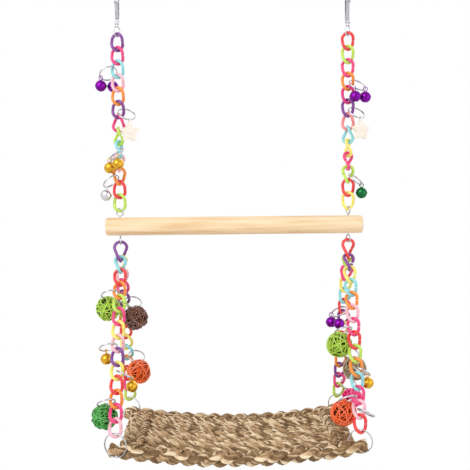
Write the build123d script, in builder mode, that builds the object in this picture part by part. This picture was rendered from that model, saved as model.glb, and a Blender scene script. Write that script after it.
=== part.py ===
"""A hanging bird swing: a wooden perch and a seagrass mat on chains of twisted plastic links.

The origin lies on the axis of the rail that the two hooks clip to, midway between them.
X runs along the perch, Y away from the viewer and Z up. Sizes are in millimetres.
"""
import os
from math import asin, ceil, cos, degrees, radians, sin, sqrt, tan
from typing import NamedTuple

from build123d import *

os.makedirs("parts", exist_ok=True)

# Overall layout
chain_spacing = 254.0
mat_depth = 150.0
play = 0.3

# Hooks, gates and swivel eyes
rail_radius = 3.0
hook_width = 5.0
hook_gauge = 1.1
hook_drop = 30.0
hook_nose = 7.0
nose_flare = 1.4
hook_corner = 2.0
hook_tab = 3.0
gate_width = 3.8
gate_gauge = 0.5
gate_tip_flat = 0.2
gate_pivot_drop = 24.0
gate_length = 19.4
stem_radius = 0.95
stem_clearance = 0.12
stem_head_radius = 1.9
stem_head_height = 0.9
eye_loop_width = 8.6
eye_loop_height = 12.5
eye_loop_wire = 1.7
eye_loop_yaw = 40.0

# Chain links
link_wire = 3.5
link_bend = 5.55
fork_bend = 6.5
link_wrap = 112.2
link_cross = -45.0
link_slit = 0.8
upper_count = 13
lower_count = 13
twist_first = 6
twist_step = 30.0
fork_yaw = 45.0
fork_lift = 5.3
branch_gap = 0.3
untwist_step = 30.0

# Split rings
ring_diameter = 20.5
corner_ring_diameter = 26.0
corner_ring_yaw = -20.0
corner_ring_slack = 0.5
ring_wire = 1.2
ring_coil_pitch = 0.7

# Perch and screw eyes
perch_overhang = 15.5
perch_radius = 10.0
perch_chamfer = 1.2
screw_eye_radius = 4.1
screw_eye_wire = 1.6
screw_eye_neck = 0.9
screw_length = 9.0
screw_fit = 0.05
upper_eye_yaws = (-20.0, -70.0)
lower_eye_yaws = (80.0, 68.0)

# Seagrass mat
mat_sag = 15.0
row_diameter = 11.0
row_spacing = 10.2
braid_diameter = 18.0
braid_overrun = 6.0
braid_lift = 6.0
panel_inset = 6.0
side_rope_diameter = 9.0
side_rope_inset = 17.0
side_rope_seat = 3.5
rope_fit = 0.05
ring_hole_clearance = 0.3

# Pendants
bell_radius = 6.3
bell_wall = 0.7
bell_band = 0.3
bell_slot = 1.1
bell_slot_length = 8.2
pellet_radius = 1.7
pellet_gap = 0.1
loop_bore = 1.9
loop_wire = 0.9
loop_slack = 0.4
ball_diameter = 30.0
small_ball_diameter = 26.0
vine = 2.0
vine_lay = 0.06
hoop_leans = ((48, 20), (40, 92), (52, 164), (44, 236), (50, 308))
star_points = 5
star_radius = 13.0
star_waist = 6.8
star_thickness = 4.0
star_round = 1.6
star_neck = 2.4
pair_angle = 47.0
pair_lean = 24.0


class RingSeat(NamedTuple):
    """Where a split ring sits on its link, from the link's centre, and how its axis leans."""

    out: float
    back: float
    drop: float
    tilt: float
    yaw: float


straight_seat = RingSeat(out=10.4, back=-1.4, drop=4.3, tilt=-49.0, yaw=-29.0)
upper_seat = RingSeat(out=9.3, back=-1.4, drop=5.4, tilt=-49.0, yaw=-29.0)
inner_seat = RingSeat(out=10.7, back=-2.2, drop=4.4, tilt=-57.0, yaw=-23.0)
outer_seat = RingSeat(out=-7.2, back=-5.5, drop=5.3, tilt=-59.0, yaw=59.0)
loose_seat = RingSeat(out=-8.4, back=-5.5, drop=5.3, tilt=-59.0, yaw=59.0)

# Twisted link: both ends are arcs that cross each other, and two leaning limbs join them
wrap = radians(link_wrap)
cross = radians(link_cross)
lean_sine = 1 / tan(wrap) / tan(cross)
lean_cosine = sqrt(1 - lean_sine**2)
end_tangent = Vector(cos(cross), sin(cross), 0)
end_inward = Vector(-lean_sine * sin(cross), lean_sine * cos(cross), -lean_cosine)
limb_direction = end_tangent * cos(wrap) + end_inward * sin(wrap)


def end_point(angle, bend):
    """A point of the upper right arc, from the middle of the link's upper end."""
    return (end_tangent * sin(angle) + end_inward * (1 - cos(angle))) * bend


def link_half_length(bend):
    """Half the height between the centrelines of a link's two ends."""
    limb_top = end_point(wrap, bend)
    return limb_top.Y * limb_direction.Z / limb_direction.Y - limb_top.Z


def half_turn_z(point):
    return Vector(-point.X, -point.Y, point.Z)


def half_turn_x(point):
    return Vector(point.X, -point.Y, -point.Z)


def make_link(bend):
    """One wire swept round the twisted loop, from one side of the slit to the other."""
    apex = Vector(0, 0, link_half_length(bend))
    middle = apex + end_point(wrap / 2, bend)
    limb_top = apex + end_point(wrap, bend)
    slit = Vector(limb_top.X, 0, 0)
    slit_edge = limb_direction * (link_slit / 2)
    with BuildPart() as link:
        with BuildLine() as path:
            Line(slit + slit_edge, half_turn_x(limb_top))
            ThreePointArc(half_turn_x(limb_top), half_turn_x(middle), -apex)
            ThreePointArc(-apex, half_turn_x(half_turn_z(middle)), half_turn_x(half_turn_z(limb_top)))
            Line(half_turn_x(half_turn_z(limb_top)), half_turn_z(limb_top))
            ThreePointArc(half_turn_z(limb_top), half_turn_z(middle), apex)
            ThreePointArc(apex, middle, limb_top)
            Line(limb_top, slit - slit_edge)
        with BuildSketch(Plane(path.line @ 0, z_dir=path.line % 0)):
            Circle(link_wire / 2)
        sweep()
    return link.part


link = make_link(link_bend)
fork_link = make_link(fork_bend)
link_half = link_half_length(link_bend)
fork_half = link_half_length(fork_bend)
link_pitch = 2 * link_half - link_wire - play

# Heights along the swing, from the rail down to the mat
chain_x = chain_spacing / 2
perch_length = chain_spacing + 2 * perch_overhang
tab_z = -hook_drop
swivel_top = tab_z - hook_gauge / 2 - play
eye_loop_z = swivel_top - stem_head_height - eye_loop_height + eye_loop_wire / 2
upper_apex = eye_loop_z + (eye_loop_wire + link_wire) / 2 + play
upper_end = upper_apex - 2 * link_half - (upper_count - 1) * link_pitch
screw_eye_top = upper_end + (link_wire + screw_eye_wire) / 2 + play
screw_eye_stand = screw_eye_neck + screw_eye_wire / 2 + screw_eye_radius
perch_z = screw_eye_top - screw_eye_radius - screw_eye_stand - perch_radius
lower_eye_bottom = perch_z - perch_radius - screw_eye_stand - screw_eye_radius
fork_apex = lower_eye_bottom + (link_wire + screw_eye_wire) / 2 + play
fork_end = fork_apex - 2 * fork_half
branch_y = (link_wire + branch_gap) / 2
lower_apex = fork_end + fork_lift
lower_length = 2 * link_half + (lower_count - 1) * link_pitch
branch_angle = degrees(asin((mat_depth / 2 - branch_y) / lower_length))
ring_section = (ring_wire + ring_coil_pitch) / 2
ring_radius = (ring_diameter - ring_wire) / 2
corner_ring_radius = (corner_ring_diameter - ring_wire) / 2


def upper_yaw(number):
    """The upper chains take half a turn between the twist's first link and its last."""
    steps = min(max(number - twist_first, 0), 180 / twist_step)
    return -twist_step * steps


def lower_yaw(number):
    """The lower chains start square to the fork link and come round to face the front."""
    return max(fork_yaw - untwist_step * (number - 1), 0)


def upper_link(side, number):
    centre = Vector(side * chain_x, 0, upper_apex - link_half - (number - 1) * link_pitch)
    return Location(centre) * Rot(0, 0, upper_yaw(number))


def lower_down(front):
    angle = radians(branch_angle)
    return Vector(0, -front * sin(angle), -cos(angle))


def lower_link(side, front, number):
    """A link of a lower chain; front is 1 for the front chain and -1 for the back one."""
    down = lower_down(front)
    top = Vector(side * chain_x, -front * branch_y, lower_apex)
    centre = top + down * (link_half + (number - 1) * link_pitch)
    return Plane(centre, x_dir=(1, 0, 0), z_dir=-down).location * Rot(0, 0, lower_yaw(number))


def corner_ring_centre(side, front):
    down = lower_down(front)
    top = Vector(side * chain_x, -front * branch_y, lower_apex)
    seat = top + down * (lower_length - link_wire / 2 - ring_section - corner_ring_slack)
    return seat - Vector(0, 0, corner_ring_radius)


def ring_frame(link_place, turn, seat):
    """Centre, axis, lowest direction and tangent of a split ring that hangs on a link."""
    offset = Vector(seat.out, seat.back, -seat.drop).rotate(Axis.Z, turn)
    tilt = radians(seat.tilt)
    yaw = radians(seat.yaw)
    axis = Vector(sin(yaw) * cos(tilt), cos(yaw) * cos(tilt), sin(tilt)).rotate(Axis.Z, turn)
    lowest = (Vector(0, 0, -1) + axis * axis.Z).normalized()
    return link_place.position + offset, axis, lowest, axis.cross(lowest)


def ring_place(frame):
    centre, axis, lowest, tangent = frame
    return Plane(centre, x_dir=tangent, z_dir=axis).location


def hang_point(frame, angle=0):
    """The point of a ring that a pendant hangs from and the ring's direction there."""
    centre, axis, lowest, tangent = frame
    turn = radians(angle)
    point = centre + (lowest * cos(turn) + tangent * sin(turn)) * ring_radius
    return point, tangent * cos(turn) - lowest * sin(turn)


def hang_place(frame, angle=0):
    point, direction = hang_point(frame, angle)
    return Plane(point, x_dir=(direction.X, direction.Y, 0), z_dir=(0, 0, 1)).location


def save(part, name):
    part.label = name
    export_step(part, f"parts/{name}.step")


# Hooks: a strip bent over the rail, with a flared nose and a drilled tab
hook_line = rail_radius + hook_gauge / 2
with BuildPart() as hook:
    with BuildSketch(Plane.YZ):
        with BuildLine():
            nose = Line((-hook_line - nose_flare, -hook_nose - nose_flare), (-hook_line, -hook_nose))
            front = Line(nose @ 1, (-hook_line, 0))
            bow = ThreePointArc(front @ 1, (0, hook_line), (hook_line, 0))
            back = Line(bow @ 1, (hook_line, tab_z + hook_corner))
            corner = RadiusArc(back @ 1, (hook_line - hook_corner, tab_z), hook_corner)
            Line(corner @ 1, (-hook_tab, tab_z))
        trace(line_width=hook_gauge)
    extrude(amount=hook_width / 2, both=True)
    with Locations((0, 0, tab_z + hook_gauge)):
        Hole(stem_radius + stem_clearance, depth=2 * hook_gauge)

# Gates: a spring tongue that closes the hook behind its nose
gate_y = rail_radius - play - gate_gauge / 2
gate_reach = gate_y + rail_radius - play / 2 - gate_gauge / 2
gate_lean = degrees(asin(gate_reach / gate_length))
gate_plane = Plane((0, gate_y, -gate_pivot_drop), x_dir=(1, 0, 0), z_dir=(0, -1, 0))
gate_plane = gate_plane.rotated((gate_lean, 0, 0))
with BuildPart() as gate:
    with BuildSketch(gate_plane):
        with Locations((0, gate_length / 2)):
            RectangleRounded(gate_width, gate_length, (gate_width - gate_tip_flat) / 2)
    extrude(amount=gate_gauge / 2, both=True)

# Swivel eyes: a headed stem through the hook's tab and a long wire loop under it
loop_half_width = (eye_loop_width - eye_loop_wire) / 2
loop_top = swivel_top - stem_head_height - eye_loop_wire / 2
loop_plane = Plane((0, 0, 0), x_dir=Vector(1, 0, 0).rotate(Axis.Z, eye_loop_yaw),
                   z_dir=Vector(0, -1, 0).rotate(Axis.Z, eye_loop_yaw))
with BuildPart() as swivel:
    with BuildLine(loop_plane) as loop_path:
        right_side = Line((loop_half_width, loop_top - loop_half_width),
                          (loop_half_width, eye_loop_z + loop_half_width))
        left_foot = (-loop_half_width, eye_loop_z + loop_half_width)
        under = ThreePointArc(right_side @ 1, (0, eye_loop_z), left_foot)
        left_side = Line(under @ 1, (-loop_half_width, loop_top - loop_half_width))
        ThreePointArc(left_side @ 1, (0, loop_top), right_side @ 0)
    with BuildSketch(Plane(loop_path.line @ 0, z_dir=loop_path.line % 0)):
        Circle(eye_loop_wire / 2)
    sweep()
    with BuildSketch(Plane.XY.offset(swivel_top)):
        Circle(stem_head_radius)
    extrude(amount=-stem_head_height - eye_loop_wire / 2)
    with BuildSketch(Plane.XY.offset(swivel_top)):
        Circle(stem_radius)
    extrude(amount=hook_gauge + 2 * play)
    with BuildSketch(Plane.XY.offset(tab_z + hook_gauge / 2 + play)):
        Circle(stem_head_radius)
    extrude(amount=stem_head_height)

for side, name in ((-1, "left"), (1, "right")):
    for piece, kind in ((hook, "hook"), (gate, "gate"), (swivel, "swivel_eye")):
        with BuildPart() as placed:
            with Locations((side * chain_x, 0, 0)):
                add(piece.part)
        save(placed.part, f"{name}_{kind}")

# Chains: the first and last links are pieces of their own, because the chains pivot there
link_groups = {
    "top_links": [upper_link(side, 1) for side in (-1, 1)],
    "left_upper_links": [upper_link(-1, number) for number in range(2, upper_count)],
    "right_upper_links": [upper_link(1, number) for number in range(2, upper_count)],
    "perch_links": [upper_link(side, upper_count) for side in (-1, 1)],
}
for side, side_name in ((-1, "left"), (1, "right")):
    for front, front_name in ((1, "front"), (-1, "back")):
        link_groups[f"{side_name}_{front_name}_links"] = [
            lower_link(side, front, number) for number in range(1, lower_count + 1)]
for name, places in link_groups.items():
    with BuildPart() as chain:
        with Locations(*places):
            add(link)
    save(chain.part, name)

fork_z = fork_apex - fork_half
with BuildPart() as forks:
    with Locations(*[Location((side * chain_x, 0, fork_z), (0, 0, fork_yaw)) for side in (-1, 1)]):
        add(fork_link)
save(forks.part, "fork_links")

# Perch: a chamfered dowel, drilled at both ends for the screw eyes
with BuildPart() as perch:
    with BuildSketch(Plane.YZ.offset(-perch_length / 2)):
        with Locations((0, perch_z)):
            Circle(perch_radius)
    extrude(amount=perch_length)
    chamfer(perch.edges().filter_by(GeomType.CIRCLE), perch_chamfer)
    for level, flip in ((perch_z + perch_radius, 1), (perch_z - perch_radius, -1)):
        for side in (-1, 1):
            with BuildSketch(Plane((side * chain_x, 0, level), z_dir=(0, 0, flip))):
                Circle(screw_eye_wire / 2 + screw_fit)
            extrude(amount=-screw_length - play, mode=Mode.SUBTRACT)
save(perch.part, "perch")

# Screw eyes: a closed wire ring on a screw shank
with BuildPart() as screw_eye:
    with Locations(Location((0, 0, screw_eye_stand), (90, 0, 0))):
        Torus(screw_eye_radius, screw_eye_wire / 2)
    with BuildSketch(Plane.XY.offset(-screw_length)):
        Circle(screw_eye_wire / 2)
    extrude(amount=screw_length + screw_eye_neck + screw_eye_wire / 2)

with BuildPart() as upper_eyes:
    with Locations(*[Location((side * chain_x, 0, perch_z + perch_radius)) * Rot(0, 0, yaw)
                     for side, yaw in zip((-1, 1), upper_eye_yaws)]):
        add(screw_eye.part)
save(upper_eyes.part, "upper_screw_eyes")
with BuildPart() as lower_eyes:
    with Locations(*[Location((side * chain_x, 0, perch_z - perch_radius)) * Rot(180, 0, yaw)
                     for side, yaw in zip((-1, 1), lower_eye_yaws)]):
        add(screw_eye.part)
save(lower_eyes.part, "lower_screw_eyes")


def make_split_ring(radius):
    """A split ring's two coils of wire, side by side."""
    with BuildPart() as ring:
        with BuildSketch(Plane.XZ):
            with Locations((radius, ring_coil_pitch / 2), (radius, -ring_coil_pitch / 2)):
                Circle(ring_wire / 2)
        revolve(axis=Axis.Z)
    return ring.part


# Pendants hang from split rings, each on one link of a chain
left_upper_hangers = {
    "L3": ring_frame(upper_link(-1, 3), 180 + upper_yaw(3), straight_seat),
    "L6": ring_frame(upper_link(-1, 6), upper_yaw(6), upper_seat),
    "L9": ring_frame(upper_link(-1, 9), upper_yaw(9), upper_seat),
    "L11": ring_frame(upper_link(-1, 11), upper_yaw(11), upper_seat),
}
right_upper_hangers = {
    "R4": ring_frame(upper_link(1, 4), upper_yaw(4), straight_seat),
    "R6": ring_frame(upper_link(1, 6), upper_yaw(6), upper_seat),
    "R11": ring_frame(upper_link(1, 11), 180 + upper_yaw(11), upper_seat),
}
left_lower_hangers = {
    "FL3": ring_frame(lower_link(-1, 1, 3), 180, inner_seat),
    "BL4": ring_frame(lower_link(-1, -1, 4), 0, inner_seat),
    "FL7": ring_frame(lower_link(-1, 1, 7), 180, inner_seat),
    "BL9": ring_frame(lower_link(-1, -1, 9), 0, inner_seat),
    "FL9": ring_frame(lower_link(-1, 1, 9), 180, outer_seat),
    "FL11": ring_frame(lower_link(-1, 1, 11), 180, inner_seat),
}
right_lower_hangers = {
    "BR5": ring_frame(lower_link(1, -1, 5), 0, outer_seat),
    "FR6": ring_frame(lower_link(1, 1, 6), 180, inner_seat),
    "BR9": ring_frame(lower_link(1, -1, 9), 0, inner_seat),
    "FR9": ring_frame(lower_link(1, 1, 9), 180, outer_seat),
    "BR12": ring_frame(lower_link(1, -1, 12), 0, inner_seat),
    "FR11": ring_frame(lower_link(1, 1, 11), 180, inner_seat),
    "FR12": ring_frame(lower_link(1, 1, 12), 180, loose_seat),
}
split_ring = make_split_ring(ring_radius)
for name, hangers in (("left_upper_rings", left_upper_hangers), ("right_upper_rings", right_upper_hangers),
                      ("left_lower_rings", left_lower_hangers), ("right_lower_rings", right_lower_hangers)):
    with BuildPart() as rings:
        with Locations(*[ring_place(frame) for frame in hangers.values()]):
            add(split_ring)
    save(rings.part, name)

# Jingle bells: a banded shell with a cross slot, a hanging loop and a loose pellet
bell_z = -loop_slack - loop_bore - loop_wire / 2 - bell_radius
with BuildPart() as bell:
    with Locations((0, 0, bell_z)):
        Sphere(bell_radius)
        Cylinder(bell_radius + bell_band, 2 * bell_band + loop_wire)
        Sphere(bell_radius - bell_wall, mode=Mode.SUBTRACT)
    with Locations(Location((0, 0, -loop_slack), (0, 90, 0))):
        Torus(loop_bore + loop_wire / 2, loop_wire / 2)
    with Locations((0, 0, bell_z - bell_radius)):
        Box(bell_slot_length, bell_slot, bell_slot_length, mode=Mode.SUBTRACT)
        Box(bell_slot, bell_slot_length, bell_slot_length, mode=Mode.SUBTRACT)
with BuildPart() as pellet:
    with Locations((0, 0, bell_z - bell_radius + bell_wall + pellet_radius + pellet_gap)):
        Sphere(pellet_radius)

bell_hangers = {
    "purple_bell_a": (left_upper_hangers["L3"], -pair_angle),
    "purple_bell_b": (left_upper_hangers["L3"], pair_angle),
    "gold_bell_a": (left_upper_hangers["L9"], -pair_angle - pair_lean),
    "gold_bell_b": (left_upper_hangers["L9"], pair_angle - pair_lean),
    "silver_bell": (left_upper_hangers["L11"], 0),
    "purple_bell_c": (right_upper_hangers["R4"], -pair_angle),
    "purple_bell_d": (right_upper_hangers["R4"], pair_angle),
    "green_bell": (right_upper_hangers["R11"], 0),
    "gold_bell_c": (left_lower_hangers["FL7"], 0),
    "gold_bell_d": (left_lower_hangers["FL9"], 0),
    "purple_bell_e": (right_lower_hangers["BR5"], -pair_angle),
    "purple_bell_f": (right_lower_hangers["BR5"], pair_angle),
    "gold_bell_e": (right_lower_hangers["FR9"], 0),
}
for name, (frame, angle) in bell_hangers.items():
    with BuildPart() as placed:
        with Locations(hang_place(frame, angle)):
            add(bell.part)
            add(pellet.part)
    save(placed.part, name)


# Vine balls: openwork hoops, each laid a little deeper, and one over the top that carries the ball
hoop_radius = (ball_diameter - vine) / 2
ball_z = vine / 2 + ring_section + play - hoop_radius
with BuildPart() as vine_ball:
    with Locations(Location((0, 0, ball_z), (0, 90, 0))):
        Torus(hoop_radius, vine / 2)
    for number, (lean, turn) in enumerate(hoop_leans, 1):
        with Locations(Location((0, 0, ball_z)) * Rot(0, 0, turn) * Rot(lean, 0, 0)):
            Torus(hoop_radius - vine_lay * number, vine / 2)

ball_hangers = {
    "lime_ball_left": (left_lower_hangers["FL3"], ball_diameter),
    "brown_ball": (left_lower_hangers["BL4"], ball_diameter),
    "orange_ball": (left_lower_hangers["BL9"], ball_diameter),
    "green_ball": (left_lower_hangers["FL11"], ball_diameter),
    "lime_ball_right": (right_lower_hangers["FR6"], ball_diameter),
    "natural_ball": (right_lower_hangers["BR9"], ball_diameter),
    "pink_ball": (right_lower_hangers["BR12"], small_ball_diameter),
    "red_ball": (right_lower_hangers["FR11"], ball_diameter),
}
for name, (frame, diameter) in ball_hangers.items():
    with BuildPart() as placed:
        with Locations(hang_place(frame)):
            add(vine_ball.part.scale(diameter / ball_diameter))
    save(placed.part, name)

# Star charms: a rounded five-point star under a moulded loop
star_z = -loop_slack - loop_bore - loop_wire - star_radius + star_neck
star_step = radians(180 / star_points)
with BuildPart() as star:
    with BuildSketch(Plane.XZ) as star_face:
        with BuildLine():
            Polyline(*[(radius * sin(star_step * corner), star_z + radius * cos(star_step * corner))
                       for corner, radius in enumerate((star_radius, star_waist) * star_points)], close=True)
        make_face()
        fillet(star_face.vertices(), star_round)
    extrude(amount=star_thickness / 2, both=True)
    with Locations(Location((0, 0, -loop_slack), (0, 90, 0))):
        Torus(loop_bore + loop_wire / 2, loop_wire / 2)
for name, frame in (("left_star", left_upper_hangers["L6"]), ("right_star", right_upper_hangers["R6"])):
    with BuildPart() as placed:
        with Locations(hang_place(frame)):
            add(star.part)
    save(placed.part, name)

# Corner rings join the lower chains to the mat
corners = [corner_ring_centre(side, front) for side in (-1, 1) for front in (1, -1)]
corner_places = [Location(centre) * Rot(0, 0, corner_ring_yaw) * Rot(90, 0, 0) for centre in corners]
corner_ring = make_split_ring(corner_ring_radius)
with BuildPart() as corner_rings:
    with Locations(*corner_places):
        add(corner_ring)
save(corner_rings.part, "corner_rings")

# Seagrass mat: rope rows and border braids, sagging together about one axis
braid_y = -corners[0].Y
braid_end_z = corners[0].Z - corner_ring_radius + braid_lift
panel_half_width = chain_x - panel_inset
side_rope_place = panel_half_width - side_rope_inset
sag_radius = (chain_x**2 + mat_sag**2) / (2 * mat_sag)
sag_axis_z = braid_end_z - mat_sag + sag_radius


def sag_plane(half_width):
    """The plane of a rope's section at its left end, square to the sagging line."""
    angle = asin(half_width / sag_radius)
    return Plane((0, 0, sag_axis_z), x_dir=(0, 1, 0), z_dir=(cos(angle), 0, -sin(angle)))


def sag_sweep(half_width):
    return 2 * degrees(asin(half_width / sag_radius))


sag_axis = Axis((0, 0, sag_axis_z), (0, -1, 0))
row_span = 2 * braid_y - braid_diameter - 2 * play - row_diameter
row_count = ceil(row_span / row_spacing) + 1
row_pitch = row_span / (row_count - 1)
side_rope_z = sag_axis_z - sqrt(sag_radius**2 - side_rope_place**2)
side_rope_z = side_rope_z + (row_diameter + side_rope_diameter) / 2 - side_rope_seat

for front, name in ((1, "front_braid"), (-1, "back_braid")):
    with BuildPart() as braid:
        with BuildSketch(sag_plane(chain_x + braid_overrun)):
            with Locations((-front * braid_y, -sag_radius)):
                Circle(braid_diameter / 2)
        revolve(axis=sag_axis, revolution_arc=sag_sweep(chain_x + braid_overrun))
        with Locations(*corner_places):
            Torus(corner_ring_radius, ring_section + ring_hole_clearance, mode=Mode.SUBTRACT)
    save(braid.part, name)

with BuildPart() as panel:
    with BuildSketch(sag_plane(panel_half_width)):
        with GridLocations(row_pitch, 0, row_count, 1):
            with Locations((0, -sag_radius)):
                Circle(row_diameter / 2)
    revolve(axis=sag_axis, revolution_arc=sag_sweep(panel_half_width))
    for side in (-1, 1):
        with BuildSketch(Plane.XZ.offset(-mat_depth / 2)):
            with Locations((side * side_rope_place, side_rope_z)):
                Circle(side_rope_diameter / 2 + rope_fit)
        extrude(amount=mat_depth, mode=Mode.SUBTRACT)
save(panel.part, "mat_panel")

with BuildPart() as side_ropes:
    rope_length = 2 * braid_y - braid_diameter - 2 * play
    for side in (-1, 1):
        with BuildSketch(Plane.XZ.offset(-rope_length / 2)):
            with Locations((side * side_rope_place, side_rope_z)):
                Circle(side_rope_diameter / 2)
        extrude(amount=rope_length)
save(side_ropes.part, "side_ropes")
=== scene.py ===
# %% [markdown]
# # A hanging bird swing
# The real swing is a wooden dowel and a seagrass mat on chains of coloured plastic links, with bells,
# vine balls and charms on split rings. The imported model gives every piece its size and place, so this
# lesson only makes what a plain solid can't show: coloured links, wound vine, laid rope and finishes.
# Blender's vector noise starts from the clock, so it gets a seed, and every run makes the same swing.

# %% Load the frame
import math
import random

import bmesh
import bpy
from mathutils import Matrix, Vector, noise


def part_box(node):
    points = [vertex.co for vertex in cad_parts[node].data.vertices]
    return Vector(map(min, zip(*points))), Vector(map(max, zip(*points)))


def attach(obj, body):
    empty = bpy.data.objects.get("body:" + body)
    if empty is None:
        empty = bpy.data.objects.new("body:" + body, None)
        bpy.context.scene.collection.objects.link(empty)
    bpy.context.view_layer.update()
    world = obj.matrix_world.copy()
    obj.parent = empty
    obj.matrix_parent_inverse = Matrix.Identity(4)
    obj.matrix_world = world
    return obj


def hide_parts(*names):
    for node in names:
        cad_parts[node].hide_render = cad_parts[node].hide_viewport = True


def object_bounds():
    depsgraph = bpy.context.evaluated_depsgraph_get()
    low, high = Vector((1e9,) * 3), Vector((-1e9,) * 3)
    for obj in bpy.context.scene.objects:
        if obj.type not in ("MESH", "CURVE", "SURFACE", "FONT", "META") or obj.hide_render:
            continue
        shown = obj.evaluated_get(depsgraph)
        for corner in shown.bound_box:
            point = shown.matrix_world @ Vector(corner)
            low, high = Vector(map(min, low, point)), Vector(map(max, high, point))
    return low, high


MM = 0.001
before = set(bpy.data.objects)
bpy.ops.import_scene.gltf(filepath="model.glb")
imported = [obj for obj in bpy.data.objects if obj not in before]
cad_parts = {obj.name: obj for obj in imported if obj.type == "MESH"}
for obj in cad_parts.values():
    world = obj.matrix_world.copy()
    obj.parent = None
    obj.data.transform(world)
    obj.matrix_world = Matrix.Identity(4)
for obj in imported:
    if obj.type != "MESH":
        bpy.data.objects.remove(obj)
cad_low, cad_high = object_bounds()
seed_of_swing = 11
noise.seed_set(seed_of_swing)
print("the swing is", [round(size / MM) for size in cad_high - cad_low], "mm")

# %% [markdown]
# ## The camera
# The photograph was taken from just left of the middle, level with the dowel, with a short telephoto
# lens. Yaw, pitch and roll turn the view; the matrix's columns are the camera's right, up and back.

# %% Camera
camera_place = Vector((-20.5, -878.0, -218.0)) * MM
camera_yaw = math.radians(1.36)
camera_pitch = math.radians(2.93)
camera_roll = math.radians(0.55)
camera_lens = 60.4

forward = Vector((math.sin(camera_yaw) * math.cos(camera_pitch),
                  math.cos(camera_yaw) * math.cos(camera_pitch),
                  -math.sin(camera_pitch)))
level_right = Vector((math.cos(camera_yaw), -math.sin(camera_yaw), 0))
level_down = forward.cross(level_right)
right = level_right * math.cos(camera_roll) + level_down * math.sin(camera_roll)
up = level_right * math.sin(camera_roll) - level_down * math.cos(camera_roll)
camera = bpy.data.objects.new("camera", bpy.data.cameras.new("camera"))
camera.data.lens = camera_lens
camera.matrix_world = Matrix.LocRotScale(camera_place, Matrix((right, up, -forward)).transposed(), None)
bpy.context.scene.collection.objects.link(camera)
bpy.context.scene.camera = camera
print("camera looks along", [round(value, 3) for value in forward])

# %% [markdown]
# ## Floor, background and light
# The photograph is a cut-out on white. A pale floor lies well under the mat, and the world is white to
# the camera and to reflections but gives the object only a plain, soft light. Two large lamps add the
# gentle shading from the upper left, and a weak one lights the far side.

# %% World
white = (1.0, 1.0, 1.0, 1.0)
ambient_light = 0.62
world = bpy.data.worlds.new("studio")
bpy.context.scene.world = world
bpy.context.scene.view_settings.view_transform = "Standard"
world.use_nodes = True
world_nodes = world.node_tree.nodes
world_links = world.node_tree.links
soft_light = world_nodes["Background"]
soft_light.inputs["Color"].default_value = white
soft_light.inputs["Strength"].default_value = ambient_light


def seen_directly(nodes, links):
    """One for a ray from the camera or from a mirror-like surface, and nothing for light."""
    path = nodes.new("ShaderNodeLightPath")
    either = nodes.new("ShaderNodeMath")
    either.operation = "MAXIMUM"
    links.new(path.outputs["Is Camera Ray"], either.inputs[0])
    links.new(path.outputs["Is Glossy Ray"], either.inputs[1])
    through = nodes.new("ShaderNodeMath")
    through.operation = "MAXIMUM"
    links.new(either.outputs[0], through.inputs[0])
    links.new(path.outputs["Is Transmission Ray"], through.inputs[1])
    return through.outputs[0]


seen_white = world_nodes.new("ShaderNodeBackground")
seen_white.inputs["Color"].default_value = white
world_mix = world_nodes.new("ShaderNodeMixShader")
world_links.new(seen_directly(world_nodes, world_links), world_mix.inputs[0])
world_links.new(soft_light.outputs[0], world_mix.inputs[1])
world_links.new(seen_white.outputs[0], world_mix.inputs[2])
world_links.new(world_mix.outputs[0], world_nodes["World Output"].inputs["Surface"])
print("the world lights the swing with", ambient_light)

# %% [markdown]
# The floor takes a faint shadow under the swing and is plain white further out. It could be one grey
# sheet, but then its edge would show, so its own glow grows with the distance from the swing.

# %% Floor finish
floor_grey = (0.9, 0.9, 0.9, 1.0)
shadow_reach = 0.69
white_reach = 0.80
least_glow = 0.72
floor_finish = bpy.data.materials.new("pale_floor")
floor_finish.use_nodes = True
floor_nodes = floor_finish.node_tree.nodes
floor_links = floor_finish.node_tree.links
floor_shader = floor_nodes["Principled BSDF"]
floor_shader.inputs["Base Color"].default_value = floor_grey
floor_shader.inputs["Roughness"].default_value = 0.9
floor_glow = floor_nodes.new("ShaderNodeEmission")
floor_glow.inputs["Color"].default_value = white
floor_reach = floor_nodes.new("ShaderNodeVectorMath")
floor_reach.operation = "LENGTH"
floor_links.new(floor_nodes.new("ShaderNodeTexCoord").outputs["Object"], floor_reach.inputs[0])
floor_fade = floor_nodes.new("ShaderNodeMapRange")
floor_fade.inputs["From Min"].default_value = shadow_reach
floor_fade.inputs["From Max"].default_value = white_reach
floor_fade.inputs["To Min"].default_value = least_glow
floor_fade.inputs["To Max"].default_value = 1.0
floor_links.new(floor_reach.outputs["Value"], floor_fade.inputs["Value"])
floor_share = floor_nodes.new("ShaderNodeMath")
floor_share.operation = "MULTIPLY"
floor_links.new(floor_fade.outputs["Result"], floor_share.inputs[1])
floor_links.new(seen_directly(floor_nodes, floor_links), floor_share.inputs[0])
floor_mix = floor_nodes.new("ShaderNodeMixShader")
floor_links.new(floor_share.outputs[0], floor_mix.inputs[0])
floor_links.new(floor_shader.outputs[0], floor_mix.inputs[1])
floor_links.new(floor_glow.outputs[0], floor_mix.inputs[2])
floor_links.new(floor_mix.outputs[0], floor_nodes["Material Output"].inputs["Surface"])
print("the floor turns white", white_reach, "m from the rail")

# %% Floor and lamps
floor_drop = 0.16
floor_size = 12.0
floor_mesh = bmesh.new()
bmesh.ops.create_grid(floor_mesh, x_segments=1, y_segments=1, size=floor_size)
bmesh.ops.translate(floor_mesh, vec=(0, 0, cad_low.z - floor_drop), verts=floor_mesh.verts)
floor_data = bpy.data.meshes.new("floor")
floor_mesh.to_mesh(floor_data)
floor_mesh.free()
floor = bpy.data.objects.new("floor", floor_data)
floor_data.materials.append(floor_finish)
bpy.context.scene.collection.objects.link(floor)

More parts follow.
